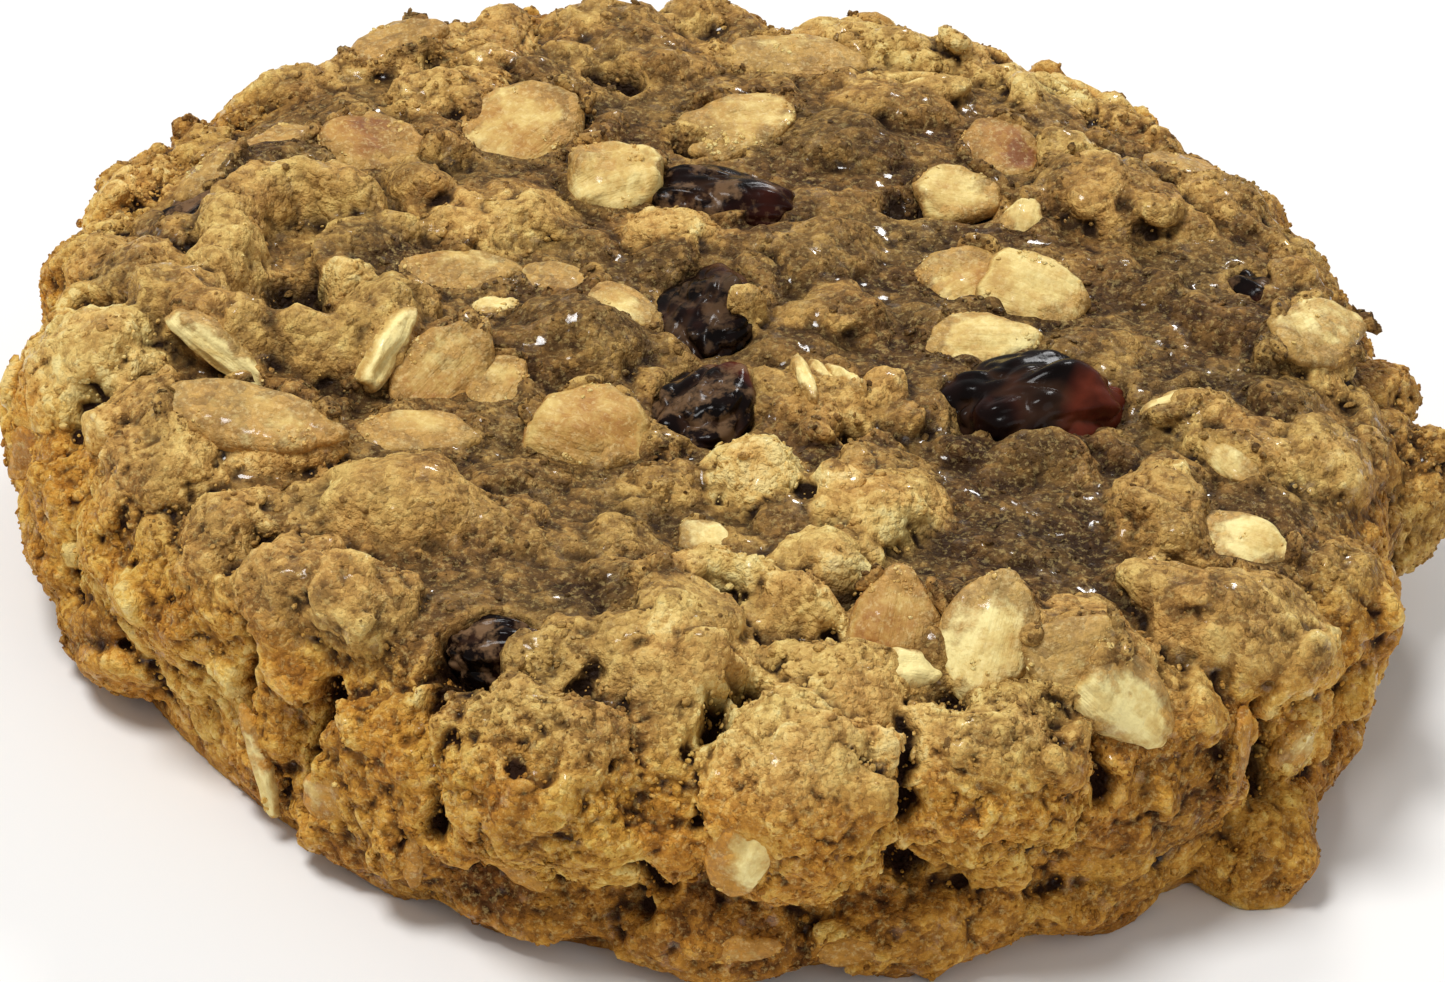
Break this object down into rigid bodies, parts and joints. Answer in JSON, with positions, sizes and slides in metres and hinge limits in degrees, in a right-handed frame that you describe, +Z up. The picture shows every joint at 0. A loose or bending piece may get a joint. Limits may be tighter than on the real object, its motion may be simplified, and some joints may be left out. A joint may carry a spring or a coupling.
{
  "type": "oatmeal raisin cookie",
  "caption": "Thick round cookie of crumbly golden dough with oat flakes, dark raisins half sunk in its crown and a flat underside.",
  "frame": {"origin": "middle of the flat underside, which is the middle of the outline's box seen from above", "axes": "+Z up out of the crown, -Y to the front, +X to the right, towards the loose lump on the rim"},
  "size_m": [0.106, 0.1045, 0.0246],
  "materials": {
    "dough": "baked oat dough, golden brown, crumbly, slightly oily",
    "oat": "rolled oat flakes, pale cream with toasted patches",
    "raisin": "wrinkled dark raisin skin, moist"
  },
  "bodies": {
    "root": {"cookie": "dough", "raisin_right": "raisin", "raisin_middle_back": "raisin", "raisin_middle_front": "raisin", "raisin_back": "raisin", "raisin_front": "raisin", "raisin_left": "raisin", "raisin_rim": "raisin"}
  },
  "joints": []
}
